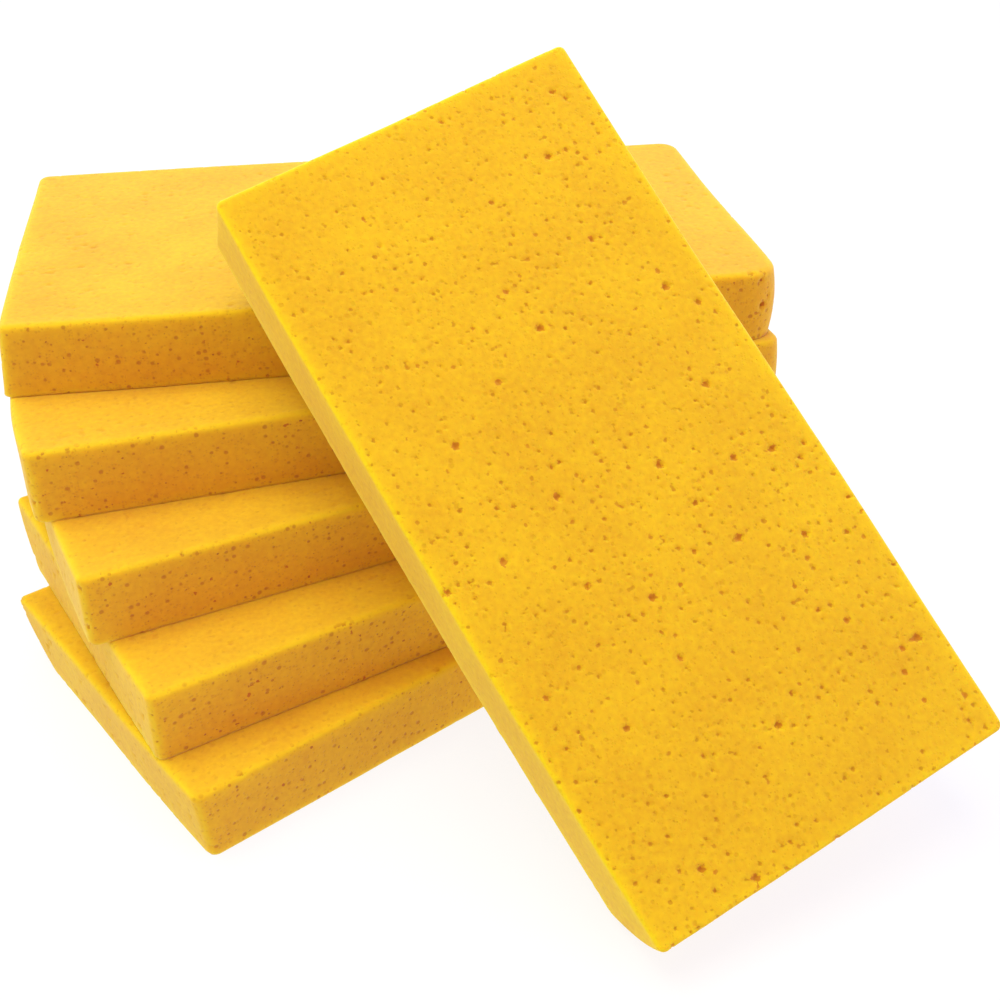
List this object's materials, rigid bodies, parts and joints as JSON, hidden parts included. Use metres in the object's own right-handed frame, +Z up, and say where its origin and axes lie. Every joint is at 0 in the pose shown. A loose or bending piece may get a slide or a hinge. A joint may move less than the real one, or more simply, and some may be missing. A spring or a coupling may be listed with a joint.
{
  "type": "sponge float pad set",
  "caption": "Loose rectangular open-cell sponge pads for a grouting float, fanned in a stack, with one more leaning on the stack's front edge.",
  "frame": {"origin": "centre of the bottom pad's underside, on the surface that the set stands on", "axes": "+Z up; +X along the top pad's long side; -Y towards the side that the leaning pad stands on"},
  "size_m": [0.3325, 0.3397, 0.2105],
  "materials": {
    "stack_foam": "matte",
    "leaning_foam": "matte"
  },
  "bodies": {
    "bottom_pad": {"bottom_pad": "stack_foam"},
    "lower_pad": {"lower_pad": "stack_foam"},
    "middle_pad": {"middle_pad": "stack_foam"},
    "upper_pad": {"upper_pad": "stack_foam"},
    "top_pad": {"top_pad": "stack_foam"},
    "leaning_pad": {"leaning_pad": "leaning_foam"}
  },
  "joints": [
    {"name": "lower_pad_lift", "type": "slide", "parent": "bottom_pad", "child": "lower_pad", "axis": [0, 0, 1], "range_m": [0, 0.08]},
    {"name": "middle_pad_lift", "type": "slide", "parent": "lower_pad", "child": "middle_pad", "axis": [0, 0, 1], "range_m": [0, 0.08]},
    {"name": "upper_pad_lift", "type": "slide", "parent": "middle_pad", "child": "upper_pad", "axis": [0, 0, 1], "range_m": [0, 0.08]},
    {"name": "top_pad_lift", "type": "slide", "parent": "upper_pad", "child": "top_pad", "axis": [0, 0, 1], "range_m": [0, 0.08]},
    {"name": "leaning_pad_lift", "type": "slide", "parent": "top_pad", "child": "leaning_pad", "axis": [0, 0, 1], "range_m": [0, 0.16]}
  ]
}
